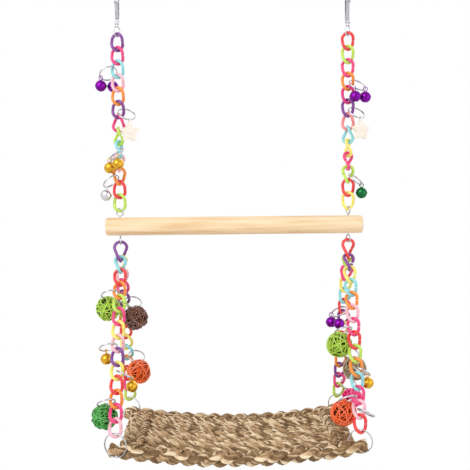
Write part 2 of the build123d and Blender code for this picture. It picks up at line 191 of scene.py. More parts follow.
swing_middle = (cad_low + cad_high) / 2
lamps = (
    ("key_lamp", Vector((-0.9, -1.1, 0.9)), 15.0, 1.3),
    ("fill_lamp", Vector((1.2, -0.9, 0.1)), 5.0, 1.4),
    ("back_lamp", Vector((0.7, 1.3, 0.8)), 6.0, 1.3),
)
for lamp_name, offset, power, size in lamps:
    lamp = bpy.data.objects.new(lamp_name, bpy.data.lights.new(lamp_name, "AREA"))
    lamp.data.energy = power
    lamp.data.size = size
    lamp.location = swing_middle + offset
    lamp.rotation_euler = (-offset).to_track_quat("-Z", "Y").to_euler()
    bpy.context.scene.collection.objects.link(lamp)
print(len(lamps), "lamps and a floor are in place")

# %% [markdown]
# ## Finishes
# A finish is a small node tree. Each one starts from the object's own coordinates, so that a pattern
# stays on the piece, and lets noise vary colour, roughness and height a little, as real surfaces do.
# Colours are picked as screen values from 0 to 255 and turned into the linear ones that shaders use.

# %% Finish helpers
def screen_colour(red, green, blue):
    """A linear shader colour from screen values."""
    def linear(value):
        share = value / 255
        return share / 12.92 if share <= 0.04045 else ((share + 0.055) / 1.055) ** 2.4
    return linear(red), linear(green), linear(blue), 1.0


def shade(colour, factor):
    return tuple(min(value * factor, 1.0) for value in colour[:3]) + (1.0,)


def pale(colour, share):
    """The colour with a share of white in it."""
    return tuple(value + (1 - value) * share for value in colour[:3]) + (1.0,)


class Finish:
    """A material with its principled shader and a few ways to add nodes to it."""

    def __init__(self, name):
        self.material = bpy.data.materials.new(name)
        self.material.use_nodes = True
        self.nodes = self.material.node_tree.nodes
        self.links = self.material.node_tree.links
        self.shader = self.nodes["Principled BSDF"]
        self.place = self.nodes.new("ShaderNodeTexCoord").outputs["Object"]

    def set(self, **values):
        for name, value in values.items():
            self.shader.inputs[name.replace("_", " ")].default_value = value

    def noise(self, scale, stretch=(1, 1, 1), detail=3.0):
        mapping = self.nodes.new("ShaderNodeMapping")
        mapping.inputs["Scale"].default_value = stretch
        self.links.new(self.place, mapping.inputs["Vector"])
        pattern = self.nodes.new("ShaderNodeTexNoise")
        pattern.inputs["Scale"].default_value = scale
        pattern.inputs["Detail"].default_value = detail
        self.links.new(mapping.outputs["Vector"], pattern.inputs["Vector"])
        return pattern.outputs["Fac"]

    def colours(self, pattern, stops):
        """Base colour from a pattern, by stops of (place, colour)."""
        ramp = self.nodes.new("ShaderNodeValToRGB")
        for number, (place, colour) in enumerate(stops):
            elements = ramp.color_ramp.elements
            element = elements[number] if number < 2 else elements.new(place)
            element.position = place
            element.color = colour
        self.links.new(pattern, ramp.inputs["Fac"])
        self.links.new(ramp.outputs["Color"], self.shader.inputs["Base Color"])

    def roughness(self, pattern, low, high):
        spread = self.nodes.new("ShaderNodeMapRange")
        spread.inputs["To Min"].default_value = low
        spread.inputs["To Max"].default_value = high
        self.links.new(pattern, spread.inputs["Value"])
        self.links.new(spread.outputs["Result"], self.shader.inputs["Roughness"])

    def bump(self, pattern, depth):
        height = self.nodes.new("ShaderNodeBump")
        height.inputs["Strength"].default_value = 1.0
        height.inputs["Distance"].default_value = depth
        self.links.new(pattern, height.inputs["Height"])
        self.links.new(height.outputs["Normal"], self.shader.inputs["Normal"])


# %% [markdown]
# The links are moulded plastic: smooth and glossy, with a faint flow mottle and a thin clear coat for
# their bright edges of light.

# %% Plastic
def link_plastic(name, colour):
    finish = Finish(name)
    flow = finish.noise(120, detail=2.0)
    finish.colours(flow, ((0.3, shade(colour, 0.94)), (0.7, shade(colour, 1.06))))
    finish.roughness(flow, 0.2, 0.3)
    finish.bump(finish.noise(400, detail=1.0), 0.00001)
    finish.set(Specular_IOR_Level=0.5, Coat_Weight=0.3, Coat_Roughness=0.12)
    return finish.material


# %% [markdown]
# Bells, rings and hooks are plated, so they mirror what is round them. A metallic shader does that by
# itself, and fine scratches in its roughness keep the mirror from looking like glass.

# %% Metal
def plated_metal(name, colour, rough=0.2, scratch=0.00002):
    finish = Finish(name)
    marks = finish.noise(700, stretch=(1, 1, 4), detail=4.0)
    finish.colours(finish.noise(300), ((0.35, shade(colour, 0.85)), (0.65, shade(colour, 1.08))))
    finish.roughness(marks, rough - 0.07, rough + 0.1)
    finish.bump(marks, scratch)
    finish.set(Metallic=1.0)
    return finish.material


# %% [markdown]
# Vine is dyed all through, but a strand deep in a ball gets little light. Real shadow does most of
# that, and painted shade helps at this small size: a value stored on each strand's vertices paints the
# deeper strands darker and the outer ones lighter and paler, as a painted highlight, with a little
# random tone from strand to strand.

# %% Vine
def dyed_vine_with_painted_shade(name, colour):
    finish = Finish(name)
    tone = finish.nodes.new("ShaderNodeAttribute")
    tone.attribute_name = "strand_tone_and_shade"
    # Painted shade and highlight: a low value, deep in the ball, gives a dark copy of the dye, and a
    # high one, outside, a lighter and paler copy.
    finish.colours(tone.outputs["Fac"], (
        (0.0, shade(colour, 0.16)), (0.45, shade(colour, 0.92)), (0.75, shade(colour, 1.2)),
        (1.0, pale(shade(colour, 1.25), 0.1))))
    streak = finish.noise(420, detail=5.0)
    finish.roughness(streak, 0.3, 0.5)
    finish.bump(streak, 0.00003)
    return finish.material


# %% [markdown]
# The dowel is pale pine with its grain along X. Its year rings could be modelled, but noise that is
# stretched along the dowel draws the same lines with far less work.

# %% Wood
def pale_pine():
    finish = Finish("pale_pine")
    grain = finish.noise(34, stretch=(0.35, 6, 6), detail=6.0)
    finish.colours(grain, ((0.25, screen_colour(222, 180, 132)), (0.5, screen_colour(244, 213, 170)),
                           (0.75, screen_colour(253, 232, 200))))
    finish.roughness(grain, 0.5, 0.7)
    finish.bump(finish.noise(60, stretch=(0.4, 12, 12), detail=6.0), 0.00012)
    return finish.material


# %% [markdown]
# Dry seagrass runs from straw to brown. Its tone changes from blade to blade, by an attribute, and in
# blotches along each blade, by noise. The two are added before one ramp turns them into a colour.

# %% Grass
blade_share = 0.6
blotch_share = 0.56


def dry_seagrass():
    """Dry grass, whose tone changes from blade to blade and, in blotches, along each one."""
    finish = Finish("dry_seagrass")
    tone = finish.nodes.new("ShaderNodeAttribute")
    tone.attribute_name = "strand_tone_and_shade"
    blades = finish.noise(130, stretch=(1.0, 2.4, 2.4), detail=7.0)
    lessened = finish.nodes.new("ShaderNodeMath")
    lessened.operation = "MULTIPLY"
    lessened.inputs[1].default_value = blotch_share
    finish.links.new(blades, lessened.inputs[0])
    mixed = finish.nodes.new("ShaderNodeMath")
    mixed.operation = "MULTIPLY_ADD"
    mixed.inputs[1].default_value = blade_share
    finish.links.new(tone.outputs["Fac"], mixed.inputs[0])
    finish.links.new(lessened.outputs[0], mixed.inputs[2])
    finish.colours(mixed.outputs[0], (
        (0.22, screen_colour(64, 44, 22)), (0.46, screen_colour(146, 113, 76)),
        (0.6, screen_colour(203, 168, 126)), (0.8, screen_colour(255, 236, 202))))
    finish.roughness(blades, 0.6, 0.9)
    finish.bump(finish.noise(520, stretch=(0.5, 1.6, 1.6), detail=5.0), 0.0005)
    return finish.material


# %% [markdown]
# The charms are moulded in ivory plastic, a little cloudy and softly glossy.

# %% Ivory
def moulded_ivory():
    finish = Finish("moulded_ivory")
    cloud = finish.noise(180, detail=3.0)
    finish.colours(cloud, ((0.3, screen_colour(246, 232, 216)), (0.7, screen_colour(253, 246, 236))))
    finish.roughness(cloud, 0.26, 0.4)
    finish.bump(finish.noise(160, detail=2.0), 0.00008)
    return finish.material


# %% [markdown]
# Every dye, plate and plastic colour is written once, by name, so that the pieces below only have to
# name their finish.

# %% Colours
plastic_colours = {
    "purple": (130, 60, 150), "hot_pink": (242, 62, 132), "magenta": (226, 30, 128),
    "aqua": (146, 220, 226), "pale_pink": (250, 190, 202), "salmon": (255, 148, 148),
    "orange": (250, 146, 42), "lime": (196, 232, 90), "yellow": (250, 234, 112), "red": (238, 54, 56),
}
plastics = {name: link_plastic(f"{name}_plastic", screen_colour(*value))
            for name, value in plastic_colours.items()}
steel = plated_metal("bright_steel", screen_colour(196, 196, 200), rough=0.22)
bell_metals = {
    "purple": plated_metal("purple_lacquer", screen_colour(126, 22, 150), rough=0.13),
    "gold": plated_metal("gold_plate", screen_colour(222, 168, 52), rough=0.13),
    "silver": plated_metal("silver_plate", screen_colour(214, 214, 218), rough=0.14),
    "green": plated_metal("green_lacquer", screen_colour(36, 110, 60), rough=0.18),
}
vine_colours = {
    "lime": (164, 200, 58), "green": (66, 158, 62), "brown": (112, 66, 46), "orange": (255, 104, 26),
    "natural": (160, 138, 108), "pink": (240, 34, 124), "red": (255, 98, 32),
}
vines = {name: dyed_vine_with_painted_shade(f"{name}_vine", screen_colour(*value)) for name, value in vine_colours.items()}
pine = pale_pine()
seagrass = dry_seagrass()
ivory = moulded_ivory()
print(len(bpy.data.materials), "materials")

# %% [markdown]
# ## Pieces that keep their CAD shape
# Hooks, gates, swivels, screw eyes, the dowel, bells and charms have their true shape already, so they
# only take a finish.

# %% Dress the rigid nodes
def dress(node, material):
    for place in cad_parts[node].material_slots:
        place.material = material


for side in ("left", "right"):
    for kind in ("hook", "gate", "swivel_eye"):
        dress(f"{side}_{kind}", steel)
    dress(f"{side}_star", ivory)
dress("upper_screw_eyes", steel)
dress("lower_screw_eyes", steel)
dress("perch", pine)
bells = [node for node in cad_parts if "_bell" in node]
for node in bells:
    dress(node, bell_metals[node.split("_")[0]])
print(len(bells), "bells dressed")

# %% [markdown]
# ## Twisted links
# A curb-chain link is one round bar, bent into an oval and then twisted so that its two ends cross at
# right angles. It could be a bevelled curve, but here a ring of vertices is walked round the shape:
# `extrude` for the straight limbs and `spin` for the four arcs. The bar is open at a slit in one limb,
# where the next link was slipped in.

# %% The link's lines
link_wire = 3.5 * MM
link_bend = 5.55 * MM
fork_bend = 6.5 * MM
link_wrap = math.radians(112.2)
link_cross = math.radians(-45.0)
link_slit = 0.8 * MM
link_rounding = 0.35 * MM
play = 0.3 * MM
bar_sides = 12
arc_steps = 9

lean_sine = 1 / math.tan(link_wrap) / math.tan(link_cross)
end_tangent = Vector((math.cos(link_cross), math.sin(link_cross), 0))
end_inward = Vector((-lean_sine * math.sin(link_cross), lean_sine * math.cos(link_cross),
                     -math.sqrt(1 - lean_sine**2)))
limb_direction = end_tangent * math.cos(link_wrap) + end_inward * math.sin(link_wrap)
arc_axis = end_tangent.cross(end_inward)
half_turn_z = Matrix.Rotation(math.pi, 4, "Z")
half_turn_x = Matrix.Rotation(math.pi, 4, "X")


def limb_start(bend):
    """Where the right limb begins, from the middle of the link's upper end."""
    return (end_tangent * math.sin(link_wrap) + end_inward * (1 - math.cos(link_wrap))) * bend


def link_half(bend):
    start = limb_start(bend)
    return start.y * limb_direction.z / limb_direction.y - start.z


# %% Bar helpers
def start_bar(shape, place, direction, radius, sides):
    """A ring of edges, square to a direction, that the rest of a bar grows from."""
    facing = direction.to_track_quat("Z", "Y").to_matrix().to_4x4()
    made = bmesh.ops.create_circle(shape, cap_ends=False, segments=sides, radius=radius,
                                   matrix=Matrix.Translation(place) @ facing)
    return list(dict.fromkeys(edge for vert in made["verts"] for edge in vert.link_edges))


def push_bar(shape, ring, move):
    """Extrudes the bar's open end and moves it."""
    made = bmesh.ops.extrude_edge_only(shape, edges=ring)["geom"]
    ends = [item for item in made if isinstance(item, bmesh.types.BMVert)]
    bmesh.ops.translate(shape, vec=move, verts=ends)
    return [edge for edge in made if isinstance(edge, bmesh.types.BMEdge)
            and len(edge.link_faces) == 1]


def bend_bar(shape, ring, centre, axis, angle, steps, climb=0.0):
    """Carries the bar's open end round an arc, climbing along the axis where the bar is a coil."""
    made = bmesh.ops.spin(shape, geom=ring, cent=centre, axis=axis, angle=angle, steps=steps,
                          dvec=Vector(axis) * (climb / steps), use_duplicate=False)["geom_last"]
    return [item for item in made if isinstance(item, bmesh.types.BMEdge)]


def close_bar(shape, rounding):
    """Caps both open ends, rounds their rims and turns all faces outwards."""
    rims = [edge for edge in shape.edges if len(edge.link_faces) == 1]
    caps = bmesh.ops.holes_fill(shape, edges=rims, sides=0)["faces"]
    rim_edges = list(dict.fromkeys(edge for face in caps for edge in face.edges))
    bmesh.ops.bevel(shape, geom=rim_edges, offset=rounding, offset_type="OFFSET", affect="EDGES",
                    segments=2, profile=0.5, material=-1)
    bmesh.ops.recalc_face_normals(shape, faces=shape.faces)
    for face in shape.faces:
        face.smooth = True


# %% The link's mesh
def make_link(name, bend):
    apex = Vector((0, 0, link_half(bend)))
    limb_top = apex + limb_start(bend)
    middle = apex + end_inward * bend
    slit_middle = Vector((limb_top.x, 0, 0))
    slit_edge = limb_direction * (link_slit / 2)
    lower_left = half_turn_x @ half_turn_z
    shape = bmesh.new()
    ring = start_bar(shape, slit_middle + slit_edge, limb_direction, link_wire / 2, bar_sides)
    ring = push_bar(shape, ring, half_turn_x @ limb_top - slit_middle - slit_edge)
    ring = bend_bar(shape, ring, half_turn_x @ middle, half_turn_x @ arc_axis, -link_wrap, arc_steps)
    ring = bend_bar(shape, ring, lower_left @ middle, lower_left @ arc_axis, link_wrap, arc_steps)
    ring = push_bar(shape, ring, half_turn_z @ limb_top - lower_left @ limb_top)
    ring = bend_bar(shape, ring, half_turn_z @ middle, half_turn_z @ arc_axis, -link_wrap, arc_steps)
    ring = bend_bar(shape, ring, middle, arc_axis, link_wrap, arc_steps)
    push_bar(shape, ring, slit_middle - slit_edge - limb_top)
    close_bar(shape, link_rounding)
    mesh = bpy.data.meshes.new(name)
    shape.to_mesh(mesh)
    shape.free()
    return mesh


link_mesh = make_link("link_shape", link_bend)
fork_mesh = make_link("fork_link_shape", fork_bend)
print("a link is", round(2 * link_half(link_bend) / MM + link_wire / MM, 1), "mm long with",
      len(link_mesh.polygons), "faces")

# %% [markdown]
# ## Chains
# Each link hangs one pitch below the last. The upper chains take half a turn halfway down, and the
# lower ones lean out to the mat's corners. All links of one CAD node make one piece, with a material
# slot for every colour in it.

# %% Places along the chains
chain_x = 127.0 * MM
upper_count = 13
lower_count = 13
twist_first = 6
twist_step = math.radians(30.0)
fork_yaw = math.radians(45.0)
untwist_step = math.radians(30.0)
mat_depth = 150.0 * MM
branch_y = 1.9 * MM
half_link = link_half(link_bend)
half_fork = link_half(fork_bend)
link_pitch = 2 * half_link - link_wire - play
fork_low, fork_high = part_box("fork_links")
fork_z = (fork_low.z + fork_high.z) / 2
fork_lift = 5.3 * MM
lower_end = fork_z - half_fork + fork_lift
lower_length = 2 * half_link + (lower_count - 1) * link_pitch
branch_angle = math.asin((mat_depth / 2 - branch_y) / lower_length)
top_low, top_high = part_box("top_links")
upper_end = (top_low.z + top_high.z) / 2 + half_link


def upper_yaw(number):
    steps = min(max(number - twist_first, 0), math.pi / twist_step)
    return -twist_step * steps


def upper_link(side, number):
    centre = Vector((side * chain_x, 0, upper_end - half_link - (number - 1) * link_pitch))
    return Matrix.Translation(centre) @ Matrix.Rotation(upper_yaw(number), 4, "Z")


def lower_link(side, front, number):
    """A link of a lower chain; front is 1 for the front chain and -1 for the back one."""
    down = Vector((0, -front * math.sin(branch_angle), -math.cos(branch_angle)))
    centre = Vector((side * chain_x, -front * branch_y, lower_end))
    centre += down * (half_link + (number - 1) * link_pitch)
    yaw = max(fork_yaw - untwist_step * (number - 1), 0)
    return (Matrix.Translation(centre) @ Matrix.Rotation(-front * branch_angle, 4, "X")
            @ Matrix.Rotation(yaw, 4, "Z"))


# %% Link colours, from the top down
left_upper = ("purple hot_pink aqua pale_pink orange purple hot_pink lime aqua pale_pink orange red "
              "lime").split()
right_upper = ("red lime hot_pink orange magenta purple salmon aqua yellow hot_pink lime red "
               "yellow").split()
left_front = ("aqua red orange lime hot_pink yellow pale_pink purple yellow red orange hot_pink "
              "pale_pink").split()
left_back = ("yellow pale_pink hot_pink purple lime orange red yellow aqua orange red hot_pink "
             "lime").split()
right_front = ("purple yellow aqua orange pale_pink hot_pink red lime orange aqua hot_pink pale_pink "
               "red").split()
right_back = ("lime hot_pink yellow aqua red purple yellow red pale_pink orange purple hot_pink "
              "lime").split()


# %% Chain pieces
def finish_piece(shape, node, body, materials):
    """Makes a bmesh into the piece that stands for a CAD node."""
    mesh = bpy.data.meshes.new(f"{node}_look")
    shape.to_mesh(mesh)
    shape.free()
    for material in materials:
        mesh.materials.append(material)
    piece = bpy.data.objects.new(f"{node}_look", mesh)
    bpy.context.scene.collection.objects.link(piece)
    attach(piece, body)
    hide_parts(node)
    return piece


def add_copy(shape, mesh, place, material_index=0):
    """Adds a mesh to a bmesh at a place, in one material."""
    first_vert = len(shape.verts)
    first_face = len(shape.faces)
    shape.from_mesh(mesh)
    shape.verts.ensure_lookup_table()
    shape.faces.ensure_lookup_table()
    bmesh.ops.transform(shape, matrix=place, verts=shape.verts[first_vert:])
    for face in shape.faces[first_face:]:
        face.material_index = material_index


def make_chain(node, body, links, mesh=link_mesh):
    """One piece from pairs of a link's place and its colour."""
    names = sorted({colour for place, colour in links})
    shape = bmesh.new()
    for place, colour in links:
        add_copy(shape, mesh, place, names.index(colour))
    finish_piece(shape, node, body, [plastics[name] for name in names])


numbers = range(1, upper_count + 1)
left_links = [(upper_link(-1, number), left_upper[number - 1]) for number in numbers]
right_links = [(upper_link(1, number), right_upper[number - 1]) for number in numbers]
make_chain("top_links", "top_links", [left_links[0], right_links[0]])
make_chain("left_upper_links", "left_upper_chain", left_links[1:-1])
make_chain("right_upper_links", "right_upper_chain", right_links[1:-1])
make_chain("perch_links", "perch_links", [left_links[-1], right_links[-1]])
fork_places = [Matrix.Translation((side * chain_x, 0, fork_z)) @ Matrix.Rotation(fork_yaw, 4, "Z")
               for side in (-1, 1)]
make_chain("fork_links", "fork_links", list(zip(fork_places, ("purple", "red"))), fork_mesh)
lower_chains = (
    ("left_front_links", "left_lower_chains", -1, 1, left_front),
    ("left_back_links", "left_lower_chains", -1, -1, left_back),
    ("right_front_links", "right_lower_chains", 1, 1, right_front),
    ("right_back_links", "right_lower_chains", 1, -1, right_back),
)
for node, body, side, front, names in lower_chains:
    places = [lower_link(side, front, number) for number in range(1, lower_count + 1)]
    make_chain(node, body, list(zip(places, names)))
print("chains made")

# %% [markdown]
# ## Split rings
# A split ring is a wire wound twice round: a flat turn, a short step across and another flat turn. The
# wire's ring of vertices is spun three times, and only the middle spin climbs.

# %% Ring shapes
ring_wire = 1.2 * MM
ring_pitch = 0.7 * MM
ring_radius = 9.65 * MM
corner_ring_radius = 12.4 * MM
ring_section = (ring_wire + ring_pitch) / 2
flat_turn = math.radians(332)
step_turn = math.radians(34)
ring_sides = 8
flat_steps = 44
climb_steps = 6
ring_rounding = 0.2 * MM


def make_split_ring(name, radius):
    shape = bmesh.new()
    axis = Vector((0, 0, 1))
    start = Vector((radius, 0, -ring_pitch / 2))
    ring = start_bar(shape, start, Vector((0, 1, 0)), ring_wire / 2, ring_sides)
    ring = bend_bar(shape, ring, Vector(), axis, flat_turn, flat_steps)
    ring = bend_bar(shape, ring, Vector(), axis, step_turn, climb_steps, climb=ring_pitch)
    bend_bar(shape, ring, Vector(), axis, flat_turn, flat_steps)
    close_bar(shape, ring_rounding)
    mesh = bpy.data.meshes.new(name)
    shape.to_mesh(mesh)
    shape.free()
    return mesh


split_ring = make_split_ring("split_ring_shape", ring_radius)
corner_ring = make_split_ring("corner_ring_shape", corner_ring_radius)

# %% [markdown]
# A ring rests in the crook of its link, so its seat is given from the link's centre: how far out, back
# and down, and how the ring's axis leans. Half a turn puts the same seat on the chain's other side.

# %% Ring seats
straight_seat = (10.4, -1.4, 4.3, -49, -29)
upper_seat = (9.3, -1.4, 5.4, -49, -29)
inner_seat = (10.7, -2.2, 4.4, -57, -23)
outer_seat = (-7.2, -5.5, 5.3, -59, 59)
loose_seat = (-8.4, -5.5, 5.3, -59, 59)


def ring_place(link_place, turn, seat):
    """Where a split ring hangs on a link, with its axis as Z and its lowest point on -Y."""
    out, back, drop, tilt, yaw = seat
    about = Matrix.Rotation(turn, 3, "Z")
    centre = link_place.translation + about @ Vector((out, back, -drop)) * MM
    tilt = math.radians(tilt)
    yaw = math.radians(yaw)
    level = math.cos(tilt)
    axis = about @ Vector((math.sin(yaw) * level, math.cos(yaw) * level, math.sin(tilt)))
    lowest = (axis * axis.z - Vector((0, 0, 1))).normalized()
    return Matrix.LocRotScale(centre, Matrix((axis.cross(lowest), -lowest, axis)).transposed(), None)


def upper_ring(side, number, seat, other_side=False):
    return ring_place(upper_link(side, number), upper_yaw(number) + math.pi * other_side, seat)


def lower_ring(side, front, number, seat):
    """Rings on a front chain hang on its far side from the same seat on a back chain."""
    return ring_place(lower_link(side, front, number), math.pi if front == 1 else 0, seat)


ring_groups = {
    "left_upper_rings": [upper_ring(-1, 3, straight_seat, True), upper_ring(-1, 6, upper_seat),
                         upper_ring(-1, 9, upper_seat), upper_ring(-1, 11, upper_seat)],
    "right_upper_rings": [upper_ring(1, 4, straight_seat), upper_ring(1, 6, upper_seat),
                          upper_ring(1, 11, upper_seat, True)],
    "left_lower_rings": [lower_ring(-1, 1, 3, inner_seat), lower_ring(-1, -1, 4, inner_seat),
                         lower_ring(-1, 1, 7, inner_seat), lower_ring(-1, -1, 9, inner_seat),
                         lower_ring(-1, 1, 9, outer_seat), lower_ring(-1, 1, 11, inner_seat)],
    "right_lower_rings": [lower_ring(1, -1, 5, outer_seat), lower_ring(1, 1, 6, inner_seat),
                          lower_ring(1, -1, 9, inner_seat), lower_ring(1, 1, 9, outer_seat),
                          lower_ring(1, -1, 12, inner_seat), lower_ring(1, 1, 11, inner_seat),
                          lower_ring(1, 1, 12, loose_seat)],
}
ring_bodies = {"left_upper_rings": "left_upper_chain", "right_upper_rings": "right_upper_chain",
               "left_lower_rings": "left_lower_chains", "right_lower_rings": "right_lower_chains"}
random_turn = random.Random(seed_of_swing)
for node, places in ring_groups.items():
    shape = bmesh.new()
    for place in places:
        turned = place @ Matrix.Rotation(random_turn.uniform(0, 2 * math.pi), 4, "Z")
        add_copy(shape, split_ring, turned)
    finish_piece(shape, node, ring_bodies[node], [steel])

corner_yaw = math.radians(-20)
corner_slack = 0.5 * MM


def corner_centre(side, front):
    down = Vector((0, -front * math.sin(branch_angle), -math.cos(branch_angle)))
    top = Vector((side * chain_x, -front * branch_y, lower_end))
    seat = top + down * (lower_length - link_wire / 2 - ring_section - corner_slack)
    return seat - Vector((0, 0, corner_ring_radius))


corners = [corner_centre(side, front) for side in (-1, 1) for front in (1, -1)]
shape = bmesh.new()
for corner in corners:
    facing = Matrix.Rotation(corner_yaw, 4, "Z") @ Matrix.Rotation(math.pi / 2, 4, "X")
    add_copy(shape, corner_ring, Matrix.Translation(corner) @ facing)
finish_piece(shape, "corner_rings", "mat", [steel])
print("split rings made")

# %% [markdown]
# ## Vine balls
# A vine ball is a few metres of thin, dyed vine wound into a loose sphere. Each strand is a hoop: a
# small circle spun once round, tipped a seeded way, and pushed about by a slow noise so that no two
# strands run quite alike.

# %% Wind the balls
strands_in_ball = 50
outer_strands = 34
strand_sides = 6
strand_steps = 44
strand_radii = (0.5 * MM, 0.82 * MM)
wobble = 0.5 * MM
wobble_length = 14 * MM
layer_depth = 2.6 * MM
outer_layers = (0, 1)
inner_layers = (1.2, 2.2)
widest_lift = 0.42


def make_strand(hoop, lift, thickness, pole, drift):
    """One hoop of vine as a mesh, tipped so that its axis points at a pole."""
    strand = bmesh.new()
    ring = start_bar(strand, Vector((hoop, 0, lift)), Vector((0, 1, 0)), thickness, strand_sides)
    bmesh.ops.spin(strand, geom=ring, cent=(0, 0, 0), axis=(0, 0, 1), angle=2 * math.pi,
                   steps=strand_steps, use_merge=True, use_duplicate=False)
    bmesh.ops.recalc_face_normals(strand, faces=strand.faces)
    tip = pole.to_track_quat("Z", "Y").to_matrix().to_4x4()
    bmesh.ops.transform(strand, matrix=tip, verts=strand.verts)
    for vert in strand.verts:
        vert.co += noise.noise_vector(vert.co / wobble_length + drift) * wobble
    mesh = bpy.data.meshes.new("strand")
    strand.to_mesh(mesh)
    strand.free()
    return mesh


def wind_ball(node, colour):
    """A ball of strands, the deeper ones painted darker and the outer ones painted lighter, in place of
    a CAD ball.
    """
    low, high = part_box(node)
    centre = (low + high) / 2
    radius = (high.z - low.z) / 2
    chance = random.Random(f"{node} {seed_of_swing}")
    shape = bmesh.new()
    tone = shape.verts.layers.float.new("strand_tone_and_shade")
    tones = []
    for strand in range(strands_in_ball):
        thickness = chance.uniform(*strand_radii)
        depth = chance.uniform(*(outer_layers if strand < outer_strands else inner_layers))
        reach = radius - thickness - wobble - depth * layer_depth
        lift = reach * chance.uniform(-widest_lift, widest_lift)
        hoop = math.sqrt(reach**2 - lift**2)
        pole = Vector((chance.gauss(0, 1), chance.gauss(0, 1), chance.gauss(0, 1))).normalized()
        drift = Vector((chance.uniform(0, 50), 0, 0))
        mesh = make_strand(hoop, lift, thickness, pole, drift)
        # Painted shade: the deeper a strand lies, the lower its value and the darker its colour, with a
        # little random tone added.
        strand_tone_and_shade = 0.95 - 0.75 * depth + chance.uniform(-0.15, 0.15)
        tones += [max(strand_tone_and_shade, 0.05)] * len(mesh.vertices)
        shape.from_mesh(mesh)
        bpy.data.meshes.remove(mesh)
    for vert, value in zip(shape.verts, tones):
        vert[tone] = value
    bmesh.ops.translate(shape, vec=centre, verts=shape.verts)
    for face in shape.faces:
        face.smooth = True
    finish_piece(shape, node, node, [vines[colour]])


balls = [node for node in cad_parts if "_ball" in node]
for node in balls:
    wind_ball(node, node.split("_")[0])
print(len(balls), "balls wound from", strands_in_ball, "strands each")

# %% [markdown]
# ## Seagrass mat
# Every rope of the mat is laid: thin twists of grass wind round each other into a strand, and strands
# wind into a rope or are plaited into the border. The same helper winds points round any path, so it is
# used twice over. A curve with a round bevel turns each list of points into a tube.

# %% Winding helpers
def lay_round(path, count, distance, pitch, phase=0.0):
    """Lists of points for strands that wind round a path."""
    strands = [[] for strand in range(count)]
    travelled = 0.0
    for number, point in enumerate(path):
        before = path[max(number - 1, 0)]
        after = path[min(number + 1, len(path) - 1)]
        along = (after - before).normalized()
        travelled += (point - before).length
        upward = (Vector((0, 0, 1)) - along * along.z).normalized()
        sideways = along.cross(upward)
        for strand in range(count):
            angle = 2 * math.pi * (travelled / pitch + strand / count) + phase
            outward = upward * math.cos(angle) + sideways * math.sin(angle)
            strands[strand].append(point + outward * distance)
    return strands


waver_length = 38 * MM


def waver(line, chance, size):
    """The same line with the slow wander of handmade rope."""
    start = chance.uniform(0, 100)
    shifts = [noise.noise_vector(Vector((start + point.x / waver_length, start, 0))) for point in line]
    return [point + Vector((0, shift.y, shift.z)) * size for point, shift in zip(line, shifts)]


# %% [markdown]
# A curve's mesh lists the end caps of all its tubes first, from the last spline to the first, and then
# the tubes. That order is needed to give every blade of grass a tone of its own, which the finish reads
# as an attribute. The caps aren't joined to the tubes, so doubles are merged to close them.

# %% Rope from tubes
tube_sides = 4
cap_seam = 0.001 * MM
swelling = 0.22
swelling_step = 0.16
hair_radius = 0.22 * MM
hair_points = 4
hair_lengths = (3.0 * MM, 8.0 * MM)
hair_lift = 0.6
blade_tones = (0.14, 0.86)


def vertex_values(curve, values):
    """Each spline's value for every vertex of its tube and its two caps."""
    caps = [value for value in reversed(values) for corner in range(2 * tube_sides)]
    tubes = []
    for spline, value in zip(curve.splines, values):
        tubes += [value] * (tube_sides * len(spline.points))
    return caps + tubes


def make_rope(node, strands, material, chance, hairs=0):
    """One piece of tubes along strands, given as pairs of points and radius, and some stray hairs."""
    curve = bpy.data.curves.new(f"{node}_rope", "CURVE")
    curve.dimensions = "3D"
    curve.bevel_depth = 1.0
    curve.bevel_resolution = 0
    curve.use_fill_caps = True
    for points, radius in strands:
        spline = curve.splines.new("POLY")
        spline.points.add(len(points) - 1)
        shift = chance.uniform(0, 100)
        for number, (place, point) in enumerate(zip(spline.points, points)):
            place.co = (*point, 1)
            swell = noise.noise(Vector((number * swelling_step, shift, 0)))
            place.radius = radius * (1 + swelling * swell)
    for hair in range(hairs):
        points, radius = chance.choice(strands)
        root = chance.randrange(2, len(points) - 3)
        along = (points[root + 1] - points[root]).normalized() * chance.choice((-1, 1))
        lift = Vector((chance.gauss(0, 0.4), chance.gauss(0, 0.6), chance.uniform(-0.2, 0.8)))
        spline = curve.splines.new("POLY")
        spline.points.add(hair_points - 1)
        reach = chance.uniform(*hair_lengths)
        for number, place in enumerate(spline.points):
            share = number / (hair_points - 1)
            point = points[root] + along * reach * share + lift * reach * hair_lift * share**2
            place.co = (*point, 1)
            place.radius = hair_radius * (1.1 - share)
    tones = [chance.uniform(*blade_tones) for spline in curve.splines]
    rope = bpy.data.objects.new(f"{node}_rope", curve)
    bpy.context.scene.collection.objects.link(rope)
    bpy.context.view_layer.update()
    mesh = bpy.data.meshes.new_from_object(rope.evaluated_get(bpy.context.evaluated_depsgraph_get()))
    bpy.data.objects.remove(rope)
    shape = bmesh.new()
    shape.from_mesh(mesh)
    tone = shape.verts.layers.float.new("strand_tone_and_shade")
    for vert, value in zip(shape.verts, vertex_values(curve, tones)):
        vert[tone] = value
    bmesh.ops.remove_doubles(shape, verts=shape.verts, dist=cap_seam)
    for face in shape.faces:
        face.smooth = True
    return finish_piece(shape, node, "mat", [material])


# %% [markdown]
# The mat hangs from its corner rings, so it sags between them. Each rope follows one arc of a circle,
# lowest in the middle, which is simple and close to a real sag. The sizes are those of the solid mat,
# but the arc is a little flatter, as the photograph shows it.

